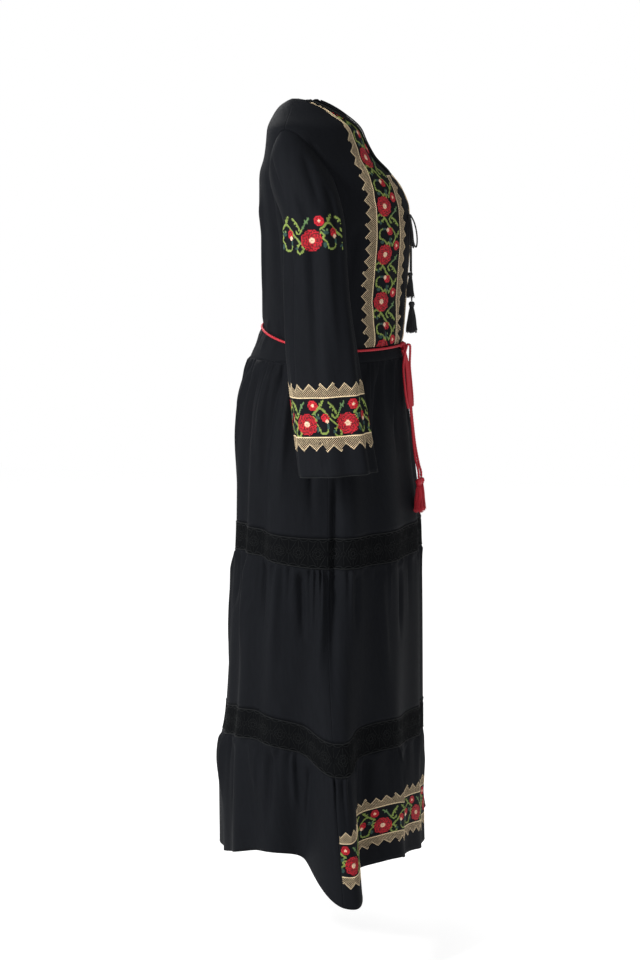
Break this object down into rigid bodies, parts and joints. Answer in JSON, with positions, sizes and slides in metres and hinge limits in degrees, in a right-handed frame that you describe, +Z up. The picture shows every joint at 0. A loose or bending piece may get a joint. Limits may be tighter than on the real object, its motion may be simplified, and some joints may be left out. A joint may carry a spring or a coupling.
{
  "type": "dress",
  "caption": "Long-sleeved black tiered dress in its worn hollow form, with slit neck, tied cords with tassels, a cord belt and lace strips between the tiers.",
  "frame": {"origin": "on the body's middle line, level with the top of the shoulders, where the wearer's shoulders hold the dress", "axes": "+Z up along the body, -Y towards the front, -X towards the wearer's right"},
  "size_m": [0.7032, 0.3825, 1.4152],
  "materials": {
    "black_cotton": "matte woven cotton",
    "black_lace": "matte cotton lace and trim",
    "black_cord": "twisted cotton cord",
    "red_cord": "twisted cotton cord with a slight sheen"
  },
  "bodies": {
    "root": {"belt": "red_cord", "belt_knot": "red_cord", "belt_loop_left": "red_cord", "belt_loop_right": "red_cord", "belt_tail_left": "red_cord", "belt_tail_right": "red_cord", "belt_tassel_left": "red_cord", "belt_tassel_right": "red_cord", "bodice_back": "black_cotton", "bodice_front_left": "black_cotton", "bodice_front_right": "black_cotton", "lace_1_back": "black_lace", "lace_1_front": "black_lace", "lace_2_back": "black_lace", "lace_2_front": "black_lace", "neck_trim_left": "black_lace", "neck_trim_right": "black_lace", "sleeve_left": "black_cotton", "sleeve_right": "black_cotton", "tie_knot": "black_cord", "tie_loop_left": "black_cord", "tie_loop_right": "black_cord", "tie_tail_left": "black_cord", "tie_tail_right": "black_cord", "tie_tassel_left": "black_cord", "tie_tassel_right": "black_cord", "tier_1_back": "black_cotton", "tier_1_front": "black_cotton", "tier_2_back": "black_cotton", "tier_2_front": "black_cotton", "tier_3_back": "black_cotton", "tier_3_front": "black_cotton"}
  },
  "joints": []
}
